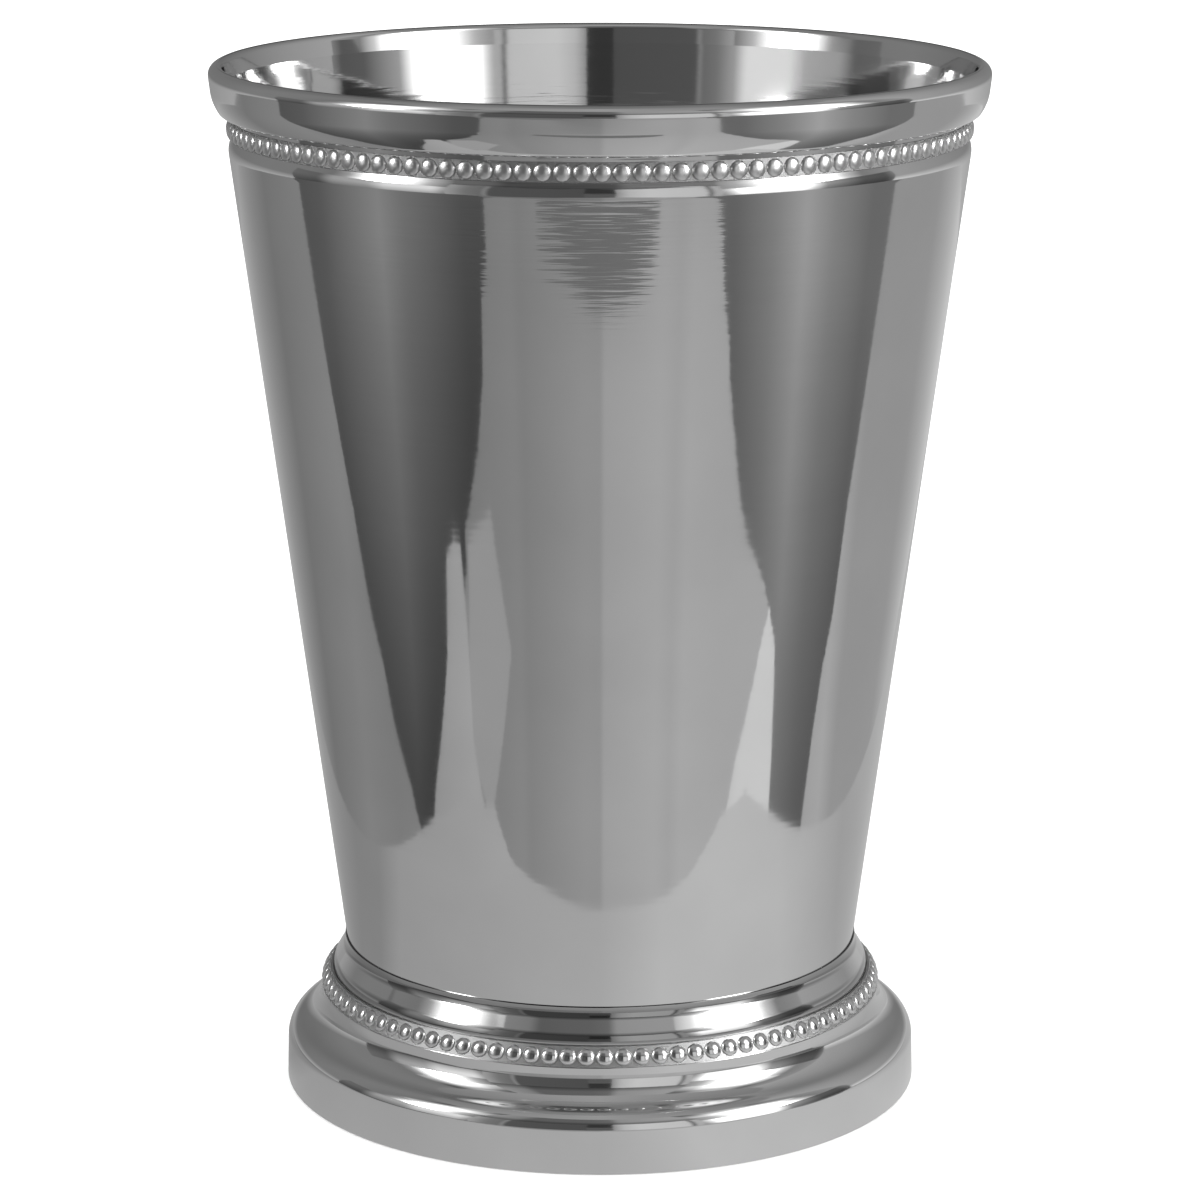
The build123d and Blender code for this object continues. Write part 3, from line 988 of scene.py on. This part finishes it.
class JULEP_OT_stage(Operator):
    """Set up the floor, the cloths and light panels round the cup, and the camera"""
    bl_idname = "julep.stage"
    bl_label = "Set the stage"

    def execute(self, context):
        floor = self.stage_piece("floor", square(FLOOR_REACH, 0), floor_paper())
        floor.visible_glossy = False
        for layer, (name, share, stops, corners) in enumerate(FLOOR_CLOTHS):
            height = (layer - len(FLOOR_CLOTHS)) * CLOTH_STEP
            points = [(x, y, height) for x, y in corners]
            self.card(name, points, lit_cloth(name, stops, share, CLOTH_SPAN, False))
        for name, bottom, top, share, fade, stops in PANELS:
            cloth = lit_cloth(name, stops, share, (bottom, bottom + fade), True)
            self.panel(name, bottom, top, cloth, stops)
        ceiling = lit_cloth("ceiling", CEILING, 1.0, CLOTH_SPAN, False)
        self.card("ceiling", square(CEILING_REACH, CEILING_HEIGHT), ceiling)
        self.world(context.scene)
        self.camera(context.scene)
        return {"FINISHED"}

    def stage_piece(self, name, points, material, faces=None):
        """A piece of the stage, from points in millimetres; with no faces given, they outline one."""
        mesh = bpy.data.meshes.new(name)
        mesh.from_pydata([[part * MM for part in point] for point in points], [],
                         faces or [list(range(len(points)))])
        mesh.materials.append(material)
        piece = linked("stage_" + name, mesh)
        return piece

    def card(self, name, points, cloth, faces=None):
        """A lit cloth that only reflections see."""
        card = self.stage_piece(name, points, cloth, faces)
        card.visible_camera = card.visible_diffuse = card.visible_shadow = False
        card.visible_transmission = card.visible_volume_scatter = False

    def panel(self, name, bottom, top, cloth, stops):
        """An upright panel on part of a circle round the cup."""
        start, end = stops[0][0], stops[-1][0]
        strips = max(1, math.ceil((end - start) / PANEL_STEP))
        reach = sizes("studio").wall_distance / MM
        points = []
        for strip in range(strips + 1):
            way = math.radians(start + (end - start) * strip / strips)
            for height in (bottom, top):
                points.append((reach * math.sin(way), -reach * math.cos(way), height))
        faces = [(2 * i, 2 * i + 2, 2 * i + 3, 2 * i + 1) for i in range(strips)]
        self.card(name, points, cloth, faces)

    def world(self, scene):
        """Even white light for the floor, and a dim room for the metal."""
        world = bpy.data.worlds.new("studio")
        scene.world = world
        world.use_nodes = True
        world.node_tree.nodes.clear()
        add = partial(add_node, world.node_tree)
        rays = add("ShaderNodeLightPath").outputs["Is Glossy Ray"]
        white = add("ShaderNodeBackground", {"Color": (1, 1, 1, 1), "Strength": FLOOR_LIGHT})
        room = add("ShaderNodeBackground", {"Color": (1, 1, 1, 1), "Strength": ROOM_LIGHT})
        mixed = add("ShaderNodeMixShader", {0: rays, 1: white, 2: room})
        add("ShaderNodeOutputWorld", {"Surface": mixed})

    def camera(self, scene):
        """The camera, at the photograph's viewing angle, with no film look over the colours."""
        studio = sizes("studio")
        lens = bpy.data.cameras.new("camera")
        lens.sensor_width = SENSOR_WIDTH
        lens.lens = studio.focal_length
        lens.clip_start = NEAREST
        camera = linked("camera", lens)
        camera.location = (0, -studio.camera_distance, studio.camera_height)
        camera.rotation_euler = (math.pi / 2 - studio.camera_tilt, 0, 0)
        scene.camera = camera
        scene.view_settings.view_transform = "Standard"


class JULEP_PT_cup(Panel):
    """Sizes, finish and making of the julep cup"""
    bl_idname = "JULEP_PT_cup"
    bl_label = "Julep cup"
    bl_space_type = "VIEW_3D"
    bl_region_type = "UI"
    bl_category = "Julep cup"

    def draw(self, context):
        for name, group in GROUPS:
            box = self.layout.box()
            box.label(text=name.replace("_", " ").capitalize())
            for key in group.__annotations__:
                box.prop(sizes(name), key)
        for operator in OPERATORS:
            self.layout.operator(operator.bl_idname)


GROUPS = (
    ("body", JulepBodySizes),
    ("lip", JulepLipSizes),
    ("beads", JulepBeadSizes),
    ("lip_row", JulepLipRow),
    ("foot_row", JulepFootRow),
    ("foot", JulepFootSizes),
    ("plate", JulepPlateSizes),
    ("finish", JulepFinish),
    ("studio", JulepStudio),
)
OPERATORS = (JULEP_OT_body, JULEP_OT_lip, JULEP_OT_foot, JULEP_OT_plate, JULEP_OT_beading, JULEP_OT_stage)


def register():
    for name, group in GROUPS:
        bpy.utils.register_class(group)
        setattr(bpy.types.Scene, "julep_" + name, PointerProperty(type=group))
    for operator in OPERATORS:
        bpy.utils.register_class(operator)
    bpy.utils.register_class(JULEP_PT_cup)


def unregister():
    bpy.utils.unregister_class(JULEP_PT_cup)
    for operator in reversed(OPERATORS):
        bpy.utils.unregister_class(operator)
    for name, group in reversed(GROUPS):
        delattr(bpy.types.Scene, "julep_" + name)
        bpy.utils.unregister_class(group)


def main():
    """Register the add-on, and make each piece and the stage in order."""
    register()
    bpy.ops.julep.body()
    bpy.ops.julep.lip()
    bpy.ops.julep.foot()
    bpy.ops.julep.plate()
    bpy.ops.julep.beading()
    bpy.ops.julep.stage()


if __name__ == "__main__":
    main()
